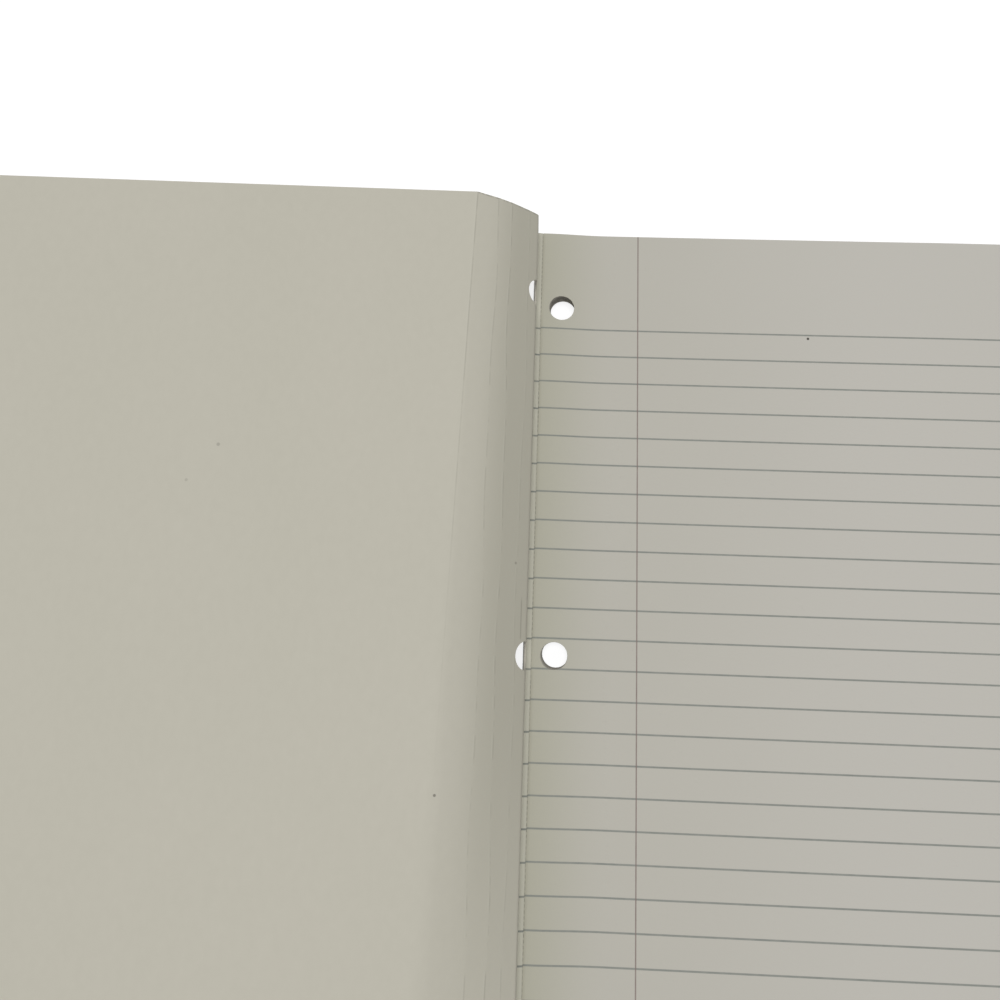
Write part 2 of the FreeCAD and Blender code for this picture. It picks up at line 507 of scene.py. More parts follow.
# The crease lines are painted shade, and the whitened line beside each is a painted highlight.
CARD_PAINTED_HIGHLIGHT = shade(202, 200, 188)
HIGHLIGHT_SHARE = 0.35
HIGHLIGHT_AT = 1.4  # middle of the whitened line, in widths of its crease
CREASE_RIM = (0.3, 1)
MOTTLED_SHARE = 0.12

# Widths and strengths of the painted crease shade.
SOFT_CREASE_WIDTH = 0.3
SOFT_CREASE_STRENGTHS = (0.25, 0.4, 0.3)
MAIN_CREASE_WIDTH = 0.25
MAIN_CREASE_STRENGTH, MAIN_CREASE_BROKEN = 0.2, 0.25
MAIN_CREASE_UP = (-60.0, 128.0)

# Pairs are the two ends of a fade: heights, or distances from a crease or the edge.
# Where the strip's painted shade reaches, and how strong it is.
STRIP_SHADE_OUT = (-16.0, -2.0)
STRIP_SHADE_UP = (-115.0, 0.0)
STRIP_SHADE_SHARE, STRIP_SHADE_LESS = 0.85, 0.75
STRIP_SHADE_RIM = 0.5
# The card is darker along the head edge, up to the main crease.
HEAD_EDGE_BAND, HEAD_EDGE_STOP = (0.1, 0.7), (-0.3, 0.3)
# A short line of painted shadow above the middle hole, beside the gutter.
GAP_SHADOW_AT, GAP_SHADOW_WIDTH, GAP_SHADOW_SHARE = 11.7, (0.1, 0.3), 0.8
GAP_SHADOW_FROM, GAP_SHADOW_TO = (4.0, 5.0), (14.0, 17.0)

# Each fleck: distance from the gutter, height, radius, strength.
CARD_FLECKS = (
    (98.9, 54.1, 0.5, 0.28), (106.5, 43.9, 0.45, 0.2),
    (35.6, -34.8, 0.38, 0.6), (14.2, 25.3, 0.4, 0.35),
)


def crease_shade_and_highlight(nodes, colour, away, width, strength):
    """A crease line: painted shade in it, and a painted highlight along its far side."""
    dark = abs(away).within(width, CREASE_RIM) * strength
    beside = abs(away - width * HIGHLIGHT_AT).within(width, CREASE_RIM)
    pressed = nodes.mixed(dark, colour, CARD_MOTTLE_AND_SHADE)
    return nodes.mixed(beside * strength * HIGHLIGHT_SHARE, pressed, CARD_PAINTED_HIGHLIGHT)


def painted_strip_shade(s, y, from_crease):
    """How much shade is painted on the strip: past the hole fold, and less at the tail."""
    share = STRIP_SHADE_SHARE - y.fade(*STRIP_SHADE_UP) * STRIP_SHADE_LESS
    past_fold = 1 - s.fade(HOLE_FOLD_AT / MM - STRIP_SHADE_RIM, HOLE_FOLD_AT / MM)
    return from_crease.fade(*STRIP_SHADE_OUT) * share * past_fold


def darker_head_edge(nodes, place, y, from_crease):
    """How much darker the head edge is, in a broken line, up to the main crease."""
    edge = (HALF_HEIGHT / MM - y).fade(*HEAD_EDGE_BAND) * from_crease.fade(*HEAD_EDGE_STOP)
    return edge * cloud(nodes, place, 1.2, 3.0).fade(0.6, 0.4)


def painted_gap_shadow(s, y):
    """How much a short line of painted shadow beside the gutter shows."""
    line = abs(s - GAP_SHADOW_AT).fade(*GAP_SHADOW_WIDTH)
    return line * y.fade(*GAP_SHADOW_TO) * (1 - y.fade(*GAP_SHADOW_FROM)) * GAP_SHADOW_SHARE


def card_inside(nodes):
    place = on_card(nodes)
    s, y, from_crease = nodes.split(place)
    base = nodes.mixed(cloud(nodes, place, 60.0), CARD_INSIDE, CARD_INSIDE_WARM)
    colour = nodes.mixed(cloud(nodes, place, 3.0, 4.0) * MOTTLED_SHARE, base, CARD_MOTTLE_AND_SHADE)
    # Painted shade on the strip past the hole fold.
    colour = nodes.mixed(painted_strip_shade(s, y, from_crease), colour, CARD_STRIP_SHADE)
    broken = cloud(nodes, place, 6.0, 3.0, (0.1, 1, 0)).fade(0.6, 0.42)
    # Painted shade and highlight along the soft creases and the main crease.
    for away, strength in zip(nodes.split(on_card(nodes, "soft")), SOFT_CREASE_STRENGTHS):
        colour = crease_shade_and_highlight(nodes, colour, away, SOFT_CREASE_WIDTH, broken * strength)
    main = MAIN_CREASE_STRENGTH + broken * MAIN_CREASE_BROKEN
    main = (1 - y.fade(*MAIN_CREASE_UP)) * main
    colour = crease_shade_and_highlight(nodes, colour, from_crease, MAIN_CREASE_WIDTH, main)
    colour = nodes.mixed(darker_head_edge(nodes, place, y, from_crease), colour, CARD_MOTTLE_AND_SHADE)
    # Painted shadow above the middle hole.
    colour = nodes.mixed(painted_gap_shadow(s, y), colour, CARD_MOTTLE_AND_SHADE)
    for *fleck, strength in CARD_FLECKS:
        colour = nodes.mixed(near_spot(nodes, place, *fleck) * strength, colour, SPECK)
    fibres = cloud(nodes, place, 0.35, 3.0, (1, 1, 0)) + cloud(nodes, place, 2.2, 2.0, (1, 1, 0))
    return colour, 0.7 + cloud(nodes, place, 5.0) * 0.1, fibres, 0.015 * MM


# %% [markdown]
# ## The outside and the cut edge
#
# The outside of the cover is coated, so it is a little paler, smoother and glossier.
# The cut edge shows the greyer core, and is as rough as torn fibre.

# %% Card outside and edge
OUTSIDE, OUTSIDE_PALE = shade(196, 193, 182), shade(200, 197, 187)
OUTSIDE_MOTTLED = shade(180, 177, 164)
EDGE_DARK, EDGE_PALE = shade(165, 160, 146), shade(196, 192, 180)


def card_outside(nodes):
    place = on_card(nodes)
    base = nodes.mixed(cloud(nodes, place, 45.0), OUTSIDE, OUTSIDE_PALE)
    mottled = nodes.mixed(cloud(nodes, place, 2.0, 4.0) * 0.2, base, OUTSIDE_MOTTLED)
    fibres = cloud(nodes, place, 0.8, 2.0, (1, 1, 0))
    return mottled, 0.42 + cloud(nodes, place, 6.0) * 0.1, fibres, 0.006 * MM


def card_edge(nodes):
    grain = cloud(nodes, on_card(nodes), 0.3, 3.0)
    base = nodes.mixed(grain, EDGE_DARK, EDGE_PALE)
    return base, 0.85 - grain * 0.05, grain, 0.02 * MM


card_materials = [
    fibre_surface("card_outside", card_outside),
    fibre_surface("card_inside", card_inside),
    fibre_surface("card_edge", card_edge),
]
print("card:", [material.name for material in card_materials])

# %% [markdown]
# ## Glue
#
# The binding is hot-melt glue: a cream, slightly clear plastic that shows only as a
# thin line at the head and the tail of the spine. The solid already has the right
# shape, so it stays, with a better finish.

# %% Glue
GLUE_DARK, GLUE_PALE = shade(206, 196, 168), shade(224, 216, 192)


def hot_melt(nodes):
    pooled = cloud(nodes, on_leaves(nodes), 1.5, 3.0)
    base = nodes.mixed(pooled, GLUE_DARK, GLUE_PALE)
    return base, 0.35 + pooled * 0.2, pooled, 0.03 * MM


glue = frame["nodes"]["binding_glue"]
glue.data.materials.clear()
glue.data.materials.append(fibre_surface("hot_melt_glue", hot_melt))
print("glue keeps its solid:", len(glue.data.polygons), "faces")

# %% [markdown]
# ## A grid with punched holes
#
# Leaves and covers are all the same kind of thing: a thin sheet with round holes. A
# sheet is laid out flat as a grid of quads. Around each hole a square window of the
# grid is left out and filled with rings that run from the square to the circle, so the
# hole is round and the quads stay even. A hole may also have slipped from its place in
# the window, and then the rings are uneven by that much.

# %% Punched grid
WINDOW_INSET = 0.999  # keeps the window's own rim in the grid


def spread(*stops):
    """Positions from stop to stop: each later stop is (position, number of steps)."""
    line = [stops[0]]
    for end, steps in stops[1:]:
        start = line[-1]
        line += [start + (end - start) * i / steps for i in range(1, steps + 1)]
    return line


def nearest(line, value):
    """Which position of a line is nearest to a value."""
    return min(range(len(line)), key=lambda i: abs(line[i] - value))


def window_rim(columns, rows, hole, window):
    """The grid's (column, row) pairs round a hole's window, in order."""
    left, right = nearest(columns, hole[0] - window), nearest(columns, hole[0] + window)
    low, high = nearest(rows, hole[1] - window), nearest(rows, hole[1] + window)
    rim = [(i, low) for i in range(left, right)] + [(right, j) for j in range(low, high)]
    rim += [(i, high) for i in range(right, left, -1)]
    return rim + [(left, j) for j in range(high, low, -1)]


def towards_hole(square, hole, share):
    """The points of a window's rim, a share of the way to the rim of its hole."""
    hx, hy, radius, slip = hole
    ring = []
    for x, y in square:
        angle = math.atan2(y - hy, x - hx)
        cx = hx + slip[0] + radius * math.cos(angle)
        cy = hy + slip[1] + radius * math.sin(angle)
        ring.append((x + (cx - x) * share, y + (cy - y) * share))
    return ring


def punched_grid(columns, rows, holes, window, rings):
    """Points and quads of a flat sheet. A hole is (x, y, radius, slip), its slip an (x, y).

    window is half the side of the square around each hole, and rings is how many rings
    of quads fill it.
    """
    points, quads, number = [], [], {}
    reach = window * WINDOW_INSET

    def in_window(x, y):
        return any(abs(x - hx) < reach and abs(y - hy) < reach for hx, hy, *_ in holes)

    for i, x in enumerate(columns):
        for j, y in enumerate(rows):
            if not in_window(x, y):
                number[i, j] = len(points)
                points.append((x, y))
    for i in range(len(columns) - 1):
        for j in range(len(rows) - 1):
            if not in_window((columns[i] + columns[i + 1]) / 2, (rows[j] + rows[j + 1]) / 2):
                square = ((i, j), (i + 1, j), (i + 1, j + 1), (i, j + 1))
                quads.append(tuple(number[corner] for corner in square))
    for hole in holes:
        outer = [number[corner] for corner in window_rim(columns, rows, hole, window)]
        square = [points[n] for n in outer]
        for ring in range(1, rings + 1):
            inner = [len(points) + k for k in range(len(outer))]
            points += towards_hole(square, hole, ring / rings)
            for k in range(len(outer)):
                m = (k + 1) % len(outer)
                quads.append((outer[k], outer[m], inner[m], inner[k]))
            outer = inner
    return np.array(points), quads


# %% [markdown]
# ## From a grid to a sheet
#
# A sheet has two faces and a rim. Every point of the grid is placed twice, once for
# each face, and each edge that only one quad uses gets a quad of its own that joins the
# two faces. So every sheet is closed, with its faces outwards, and its edges are sharp.

# %% Sheet
SHARP_FROM = math.radians(40)


def sheet_mesh(name, upper, lower, quads, materials, patterns=None):
    """A closed sheet between two faces. Materials are for the upper face, lower face and rims.

    patterns holds vectors for the materials, by name, one for each point of the sheet.
    """
    count = len(upper)
    used = dict.fromkeys(edge for quad in quads for edge in zip(quad, quad[1:] + quad[:1]))
    rims = [(b, a, a + count, b + count) for a, b in used if (b, a) not in used]
    faces = list(quads) + [tuple(n + count for n in reversed(q)) for q in quads] + rims
    mesh = bpy.data.meshes.new(name)
    mesh.from_pydata(np.vstack([upper, lower]).tolist(), [], faces)
    for material in materials:
        mesh.materials.append(material)
    if len(materials) > 1:
        kinds = [0] * len(quads) + [1] * len(quads) + [2] * len(rims)
        mesh.polygons.foreach_set("material_index", kinds)
    for pattern, vectors in (patterns or {}).items():
        layer = mesh.attributes.new(pattern, "FLOAT_VECTOR", "POINT")
        both_faces = np.vstack([vectors, vectors]).astype(np.float32)
        layer.data.foreach_set("vector", both_faces.ravel())
    mesh.shade_smooth()
    mesh.set_sharp_from_angle(angle=SHARP_FROM)
    mesh.update()
    return mesh


# %% [markdown]
# ## The leaves
#
# Glue swells the stub, so the leaves fan apart towards the spine. Each leaf lies flat
# from the fore-edge to a little past the holes, rises gently as far as the perforation,
# and climbs the rest of the way to its own height in the stub. The open stack leans as
# well: each leaf lies a hair further out and nearer the head than the one above it.

# %% Leaf layout
LEAF_COUNT = 50
LEAF_PITCH = (PAGE_TOP - CARD) / LEAF_COUNT
LEAF_BODY = LEAF_PITCH * 0.93  # paper, and the rest of the pitch is air
STUB_PITCH = (STUB_TOP - CARD) / LEAF_COUNT
HOLE_WINDOW = 5.4 * MM
STACK_LEAN = (0.7 * MM, 0.5 * MM)  # of the lowest leaf
DENT, DENT_HALF = 0.16 * MM, 0.28 * MM  # the perforation's dent, and half its width
RISE_FROM_X = 14 * MM
RISE_STEPS = 4
RISE_SHARE = 0.8  # of the way up, before the perforation


def rows_up(window, steps_between, steps_over_hole):
    """Rows from tail to head, with a window's own rows at each hole."""
    edges = sorted(y + side * window for y in HOLES_Y for side in (-1, 1))
    steps_at_ends = max(2, steps_between // 4)
    stops = [-HALF_HEIGHT, (edges[0], steps_at_ends)]
    for number, edge in enumerate(edges[1:]):
        stops.append((edge, steps_between if number % 2 else steps_over_hole))
    return spread(*stops, (HALF_HEIGHT, steps_at_ends))


hole_places = [(0.0, y, HOLE_RADIUS, (0, 0)) for y in HOLES_Y]


def leaf_mesh(name, beyond, steps, rings, height, paper):
    """A leaf whose underside lies at height(x, y). beyond gives its columns past the rise.

    All leaves share the columns as far as that, so that none pokes through another.
    """
    columns = spread(STUB_X, (PERFORATION_X - DENT_HALF, 5), (PERFORATION_X + DENT_HALF, 2))
    columns += spread(-HOLE_WINDOW, (HOLE_WINDOW, 8), (RISE_FROM_X, RISE_STEPS), *beyond)
    rows = rows_up(HOLE_WINDOW, *steps)
    points, quads = punched_grid(columns, rows, hole_places, HOLE_WINDOW, rings)
    under = height(points[:, 0], points[:, 1])
    upper, lower = (np.column_stack([points, under + z]) for z in (LEAF_BODY, 0.0))
    return sheet_mesh(name, upper, lower, quads, [paper])


print(f"leaf pitch {LEAF_PITCH / MM:.3f} mm on the page, {STUB_PITCH / MM:.3f} mm in the stub")

# %% [markdown]
# ## Stacking one leaf
#
# Forty-nine leaves alike call for geometry nodes. One leaf is drawn flat, and a tree
# copies it, numbers the copies and shifts each by a hair at random, which gives the
# stack its layered edges. Then every point is raised to the height that its leaf has
# there: the page's height and the stub's, mixed by how far the leaf has risen.

# %% The stacking tree
def new_tree(name, **inputs):
    """A new geometry node tree with named inputs, its writer, and its input node."""
    tree = bpy.data.node_groups.new(name, "GeometryNodeTree")
    for label, kind in inputs.items():
        tree.interface.new_socket(label, in_out="INPUT", socket_type="NodeSocket" + kind)
    tree.interface.new_socket("Made", in_out="OUTPUT", socket_type="NodeSocketGeometry")
    nodes = Nodes(tree)
    return tree, nodes, nodes.node("NodeGroupInput")


def give_out(nodes, given, shape):
    """The end of a tree: the shape gets its paper and goes out."""
    painted = nodes.node("GeometryNodeSetMaterial",
                         {"Geometry": shape, "Material": given.out("Paper")})
    nodes.node("NodeGroupOutput", {"Made": painted})


def numbered_copies(nodes, given):
    """Copies of a leaf in one place, strewn at random by a hair, each with its number."""
    line = nodes.node("GeometryNodeMeshLine", {"Count": given.out("Leaves"), "Offset": (0, 0, 0)},
                      mode="OFFSET")
    stray = given.number("Stray")
    shift = nodes.node("FunctionNodeRandomValue", {
        0: nodes.vector(X=stray * -1.0, Y=stray * -1.0),
        1: nodes.vector(X=stray, Y=stray),
        "Seed": given.out("Seed"),
    }, data_type="FLOAT_VECTOR")
    strewn = nodes.node("GeometryNodeSetPosition", {"Geometry": line, "Offset": shift})
    copies = nodes.node("GeometryNodeInstanceOnPoints",
                        {"Points": strewn, "Instance": given.out("Leaf")})
    index = nodes.node("GeometryNodeInputIndex")
    return nodes.node("GeometryNodeStoreNamedAttribute",
                      {"Geometry": copies, "Name": "leaf_number", "Value": index},
                      data_type="FLOAT", domain="INSTANCE")


def stack_tree():
    """A geometry node tree that stacks copies of a leaf."""
    tree, nodes, given = new_tree(
        "leaf_stack", Leaf="Geometry", Leaves="Int", Page_pitch="Float", Stub_pitch="Float",
        Bottom="Float", Dent="Float", Lean="Vector", Stray="Float", Seed="Int", Paper="Material",
    )
    solid = nodes.node("GeometryNodeRealizeInstances", {"Geometry": numbered_copies(nodes, given)})
    number = nodes.node("GeometryNodeInputNamedAttribute", {"Name": "leaf_number"},
                        data_type="FLOAT").number("Attribute")
    x, _, _ = nodes.split(nodes.node("GeometryNodeInputPosition"))
    gentle, steep = x.fade(PERFORATION_X, RISE_FROM_X), x.fade(STUB_X, PERFORATION_X)
    glued = gentle * RISE_SHARE + steep * (1 - RISE_SHARE)
    page = given.number("Bottom") + number * given.number("Page_pitch")
    stub = given.number("Bottom") + number * given.number("Stub_pitch")
    risen = number / given.number("Leaves")
    dented = abs(x - PERFORATION_X).fade(0.0, DENT_HALF) * given.number("Dent") * risen
    height = page * (1 - glued) + stub * glued - dented
    lean = nodes.vectors("SCALE", given.out("Lean"), Scale=(1 - risen) * (1 - steep))
    lift = nodes.vectors("ADD", lean, nodes.vector(Z=height))
    placed = nodes.node("GeometryNodeSetPosition", {"Geometry": solid, "Offset": lift})
    give_out(nodes, given, placed)
    return tree


# %% [markdown]
# ## Growing the stack
#
# A tree works on an object through a modifier. So the leaf is put in a host object, the
# tree's inputs are set, the result is copied out as a plain mesh, and the host is
# deleted. Nothing live is left for the export to lose.

# %% Stack the leaves
LEAF_STRAY = 0.09 * MM
LEAF_SEED = 4


def grown(name, mesh, tree, values):
    """The mesh that a geometry node tree makes of a mesh."""
    host = add_object(name + "_host", mesh)
    modifier = host.modifiers.new("grow", "NODES")
    modifier.node_group = tree
    for item in tree.interface.items_tree:
        if item.in_out == "INPUT" and item.name in values:
            modifier[item.identifier] = values[item.name]
    evaluated = host.evaluated_get(bpy.context.evaluated_depsgraph_get())
    made = bpy.data.meshes.new_from_object(evaluated)
    made.name = name
    bpy.data.objects.remove(host)
    return made


beyond = ((100 * MM, 2), (FORE_EDGE_X, 2))
one_leaf = leaf_mesh("one_leaf", beyond, (4, 8), 1, lambda x, y: np.zeros_like(x), plain_leaf)
stack_mesh = grown("leaf_stack", one_leaf, stack_tree(), {
    "Leaves": LEAF_COUNT - 1, "Page_pitch": LEAF_PITCH, "Stub_pitch": STUB_PITCH,
    "Bottom": CARD, "Dent": DENT, "Lean": (*STACK_LEAN, 0.0), "Stray": LEAF_STRAY,
    "Seed": LEAF_SEED, "Paper": plain_leaf,
})
leaf_stack = add_object("leaf_stack", stack_mesh)
print("leaf stack:", len(stack_mesh.polygons), "faces")

# %% [markdown]
# ## The first leaf
#
# The first leaf is a piece of its own, because it is printed and is seen from close by.
# It follows the same rise and dent as the leaves below, on a finer grid, and lifts and
# ripples a little towards the upper fore-edge, as a loose leaf does.

# %% The first leaf
LIFT = 0.45 * MM
LIFT_FROM = (50 * MM, 20 * MM)
LIFT_REACH = (70 * MM, 110 * MM)
LIFT_AT_FORE_EDGE = 0.2  # what is left of it there, under the closed cover's edge
RIPPLE = 0.05 * MM
RIPPLE_LENGTHS = (19 * MM, 33 * MM)
RIPPLE_REACH = 20 * MM


def smooth(share):
    """0 below 0, 1 above 1, and smooth between."""
    share = np.clip(share, 0, 1)
    return share * share * (3 - 2 * share)


def first_leaf_height(x, y):
    """Height of the first leaf's underside."""
    page = CARD + (LEAF_COUNT - 1) * LEAF_PITCH
    stub = CARD + (LEAF_COUNT - 1) * STUB_PITCH
    gentle = smooth((RISE_FROM_X - x) / (RISE_FROM_X - PERFORATION_X))
    steep = smooth((PERFORATION_X - x) / (PERFORATION_X - STUB_X))
    glued = RISE_SHARE * gentle + (1 - RISE_SHARE) * steep
    dent = DENT * smooth(1 - np.abs(x - PERFORATION_X) / DENT_HALF)
    across = np.clip((x - LIFT_FROM[0]) / LIFT_REACH[0], 0, 1)
    up = np.clip((y - LIFT_FROM[1]) / LIFT_REACH[1], 0, 1)
    inwards = np.clip((FORE_EDGE_X - x) / LIFT_REACH[0], 0, 1)
    at_edge = LIFT_AT_FORE_EDGE + (1 - LIFT_AT_FORE_EDGE) * inwards
    lift = LIFT * across**2 * up**2 * at_edge
    wave = 1 + np.sin(x / RIPPLE_LENGTHS[0] + y / RIPPLE_LENGTHS[1])
    ripple = RIPPLE * wave * np.clip(x / RIPPLE_REACH, 0, 1)
    return page * (1 - glued) + stub * glued - dent + lift + ripple


beyond = ((30 * MM, 5), (FORE_EDGE_X, 56))
first_mesh = leaf_mesh("first_leaf", beyond, (36, 12), 3, first_leaf_height, ruled)
first_leaf = add_object("first_leaf", first_mesh)
print("first leaf:", len(first_mesh.polygons), "faces")

for piece in (leaf_stack, first_leaf):
    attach(piece, "leaves")
    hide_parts("page_block")

# %% [markdown]
# ## The perforation
#
# A toothed wheel cuts the perforation: a row of short slits, each with a raised lip
# where the tooth pushed through, and a thin tie of paper between two of them. One slit
# is a few faces, coloured dark as painted shade in the open cut, and geometry nodes set
# it down along the line at an even pitch. Noise along the line widens or narrows each
# copy, because the slits gape more in some stretches than in others.

# %% Slits
SLIT_LENGTH = 1.1 * MM
SLIT_PITCH = 1.5 * MM
SLIT_LIP = 0.008 * MM
SLIT_DEPTH = 0.03 * MM
SLIT_HALF_WIDTH = 0.09 * MM
SLIT_SHOULDER = 0.6  # the slit tapers from this share of its half length

GAPE, GAPE_LOST = 0.7, 0.45  # shares of the drawn width
GAPE_FADE = (0.38, 0.62)
GAPE_NOISE_SCALE = 90.0
# The slits' colours are painted shade in the open cut.
SLIT_SHADE_DARK, SLIT_SHADE_PALE = shade(110, 108, 99), shade(142, 139, 129)


def slit_mesh():
    """One slit: a narrow closed lens with a valley in its top."""
    tip, wide = SLIT_LENGTH / 2, SLIT_HALF_WIDTH
    shoulder = tip * SLIT_SHOULDER
    ring = [(0, -tip), (wide, -shoulder), (wide, shoulder)]
    ring += [(-x, -y) for x, y in ring]
    points = [(x, y, SLIT_LIP + abs(x) * DENT / DENT_HALF) for x, y in ring]
    points += [(x, y, -SLIT_DEPTH) for x, y in ring]
    points += [(0, -shoulder, SLIT_LIP / 2), (0, shoulder, SLIT_LIP / 2)]
    top = [(0, 1, 12), (1, 2, 13, 12), (2, 3, 13), (3, 4, 13), (4, 5, 12, 13), (5, 0, 12)]
    sides = [(i, i + 6, (i + 1) % 6 + 6, (i + 1) % 6) for i in range(6)]
    mesh = bpy.data.meshes.new("slit")
    mesh.from_pydata(points, [], top + sides + [(11, 10, 9, 8, 7, 6)])
    return mesh


# Painted shade for the slits.
def slit_painted_shade(nodes):
    tint = cloud(nodes, on_leaves(nodes), 0.6, 2.0)
    base = nodes.mixed(tint, SLIT_SHADE_DARK, SLIT_SHADE_PALE)
    return base, 0.9 - tint * 0.05, tint, 0.01 * MM


def slit_row_tree():
    """A geometry node tree that repeats a slit up the leaf."""
    tree, nodes, given = new_tree(
        "slit_row", Slit="Geometry", Count="Int", First="Vector", Pitch="Float", Paper="Material"
    )
    line = nodes.node("GeometryNodeMeshLine", {
        "Count": given.out("Count"),
        "Start Location": given.out("First"),
        "Offset": nodes.vector(Y=given.out("Pitch")),
    }, mode="OFFSET")
    noise = nodes.node("ShaderNodeTexNoise", {"Scale": GAPE_NOISE_SCALE, "Detail": 1.0})
    open_by = GAPE - noise.number().fade(*GAPE_FADE) * GAPE_LOST
    copies = nodes.node("GeometryNodeInstanceOnPoints", {
        "Points": line,
        "Instance": given.out("Slit"),
        "Scale": nodes.vector(X=open_by, Y=1.0, Z=open_by),
    })
    give_out(nodes, given, nodes.node("GeometryNodeRealizeInstances", {"Geometry": copies}))
    return tree


slit_count = int(2 * HALF_HEIGHT / SLIT_PITCH)
row_start = -SLIT_PITCH * (slit_count - 1) / 2
slit_z = float(first_leaf_height(PERFORATION_X, 0.0)) + LEAF_BODY
row_mesh = grown("perforation_slits", slit_mesh(), slit_row_tree(), {
    "Count": slit_count, "First": (PERFORATION_X, row_start, slit_z), "Pitch": SLIT_PITCH,
    "Paper": fibre_surface("slit_painted_shade", slit_painted_shade),
})
slits = add_object("perforation_slits", row_mesh)
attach(slits, "leaves")
print("perforation:", slit_count, "slits")

# %% [markdown]
# ## Folding the card
#
# The cover is drawn flat and closed, as it was cut, and then folded open about three
# lines: the gutter, the line across the punched holes, and a main crease that runs
# askew. A sharp fold would turn each point past the line about the line. A soft one
# hands over from the first direction to the second over a short stretch, which turns
# the corner into a parabola and leaves everything beyond it exactly where the sharp
# fold has it. So the folded card agrees with the solids and with the joints.

# %% Folds
UP_THE_LEAF = np.array([0.0, 1.0, 0.0])


def handed_over(d, soft):
    """How far past a soft fold a point is, and how much of the turn it has made."""
    inside = np.clip((d + soft) / (2 * soft), 0, 1)
    return np.where(d > soft, d, inside * inside * soft), inside


def fold(points, at, along, angle, soft):
    """Points of the card after a soft fold up about the line through at."""
    across = np.array([along[1], -along[0], 0.0])
    up = np.array([0.0, 0.0, 1.0])
    rel = points - at
    d, run, z = rel @ across, rel @ along, rel @ up
    past, turned = handed_over(d, soft)
    across_after = math.cos(angle) * across + math.sin(angle) * up
    up_after = -math.sin(angle) * across + math.cos(angle) * up
    normal = np.outer(1 - turned, up) + np.outer(turned, up_after)
    normal /= np.linalg.norm(normal, axis=1)[:, None]
    before_fold = at + np.outer(run, along) + np.outer(d - past, across)
    return before_fold + np.outer(past, across_after) + z[:, None] * normal


def unfolded(vector):
    """A direction or offset on the second strip, taken back to the flat cover."""
    return Matrix.Rotation(GUTTER_ANGLE + HOLE_FOLD_ANGLE, 3, "Y") @ vector


crease_joint = joints["crease_fold"]
crease_pos = Vector(crease_joint["pos_m"])
crease_along = np.array(unfolded(Vector(crease_joint["axis"])))
crease_along[2] = 0.0
crease_along /= np.linalg.norm(crease_along)
CREASE_AT = np.array([HOLE_FOLD_AT + unfolded(crease_pos - hole_fold_pos).x, 0.0, 0.0])


def crease_at(y):
    """Distance of the main crease from the gutter at height y."""
    return CREASE_AT[0] + y * crease_along[0] / crease_along[1]


def from_tail(y, at_tail, at_head):
    """A value that runs evenly from the tail to the head."""
    share = (y + HALF_HEIGHT) / (2 * HALF_HEIGHT)
    return at_tail + (at_head - at_tail) * share


print(f"crease at {crease_at(-HALF_HEIGHT):.4f} m at the tail")
print(f"crease at {crease_at(HALF_HEIGHT):.4f} m at the head")

# %% [markdown]
# ## Card that has been used
#
# Between its folds the card isn't quite flat. The first strip leans a little past
# upright. The strip past the holes is bowed by a few soft creases that appeared as the
# cover was bent back again and again, and they wander. Each soft crease is one more
# small change of slope, and their slopes cancel at the main crease, so the cover beyond
# it stays in place. The main crease is sharp at the head and soft at the tail.

# %% Bowed strips
GUTTER_SOFT = 0.9 * MM
HOLE_SOFT = 0.6 * MM
CREASE_SOFT = (3.6 * MM, 0.4 * MM)  # at the tail and at the head
FIRST_STRIP_LEAN = 0.025

# Each soft crease: distance from the gutter at the tail and at the head, turn, softness.
SOFT_CREASES = (
    (14.6 * MM, 12.6 * MM, 0.055, 0.6 * MM),
    (19.6 * MM, 19.6 * MM, 0.105, 0.4 * MM),
    (26.0 * MM, 24.4 * MM, 0.085, 0.5 * MM),
)
# A soft crease wanders by two waves: size, length, and what each next crease is behind.
WANDER = ((0.35 * MM, 17 * MM, 2.1), (0.2 * MM, 7 * MM, 1.0))


def soft_crease_at(y, number):
    """Distance of a soft crease from the gutter at height y."""
    tail, head = SOFT_CREASES[number][:2]
    waves = (size * np.sin(y / length + behind * number) for size, length, behind in WANDER)
    return from_tail(y, tail, head) + sum(waves)


def bow(s, y):
    """How far the card stands off its straight strips, towards its outside."""
    start, end = HOLE_FOLD_AT, crease_at(y)
    width = end - start
    # The lean of the first strip is made good between the hole fold and the crease.
    made_good = FIRST_STRIP_LEAN * start / width
    at_hole_fold = -FIRST_STRIP_LEAN - made_good
    at_crease = made_good
    rise = FIRST_STRIP_LEAN * handed_over(s, GUTTER_SOFT)[0]
    for number, (_, _, turned, soft) in enumerate(SOFT_CREASES):
        at = soft_crease_at(y, number)
        lever = turned * (end - at) / width
        at_hole_fold = at_hole_fold - lever
        at_crease = at_crease + lever - turned
        rise = rise + turned * handed_over(s - at, soft)[0]
    rise = rise + at_hole_fold * handed_over(s - start, HOLE_SOFT)[0]
    return rise + at_crease * handed_over(s - end, from_tail(y, *CREASE_SOFT))[0]


def cover_place(s, y, depth):
    """Places on the folded cover. depth is 0 on the outside and the card's thickness inside.

    Negative s runs down the spine, whose card stands one thickness further out.
    """
    points = np.column_stack([s, y, bow(s, y) - depth])
    points = fold(points, CREASE_AT, crease_along, CREASE_ANGLE, from_tail(y, *CREASE_SOFT))
    hole_fold = np.array([HOLE_FOLD_AT, 0.0, 0.0])
    points = fold(points, hole_fold, UP_THE_LEAF, HOLE_FOLD_ANGLE, HOLE_SOFT)
    points[:, 2] += CARD * smooth((GUTTER_SOFT - s) / (2 * GUTTER_SOFT))
    upright = np.column_stack([-points[:, 2], points[:, 1], points[:, 0]])
    return upright + np.array(GUTTER)


folds = cover_place(np.array([0.0, HOLE_FOLD_AT, CREASE_AT[0]]), np.zeros(3), np.zeros(3))
print("folds at mid height, in mm:", (folds / MM).round(1).tolist())

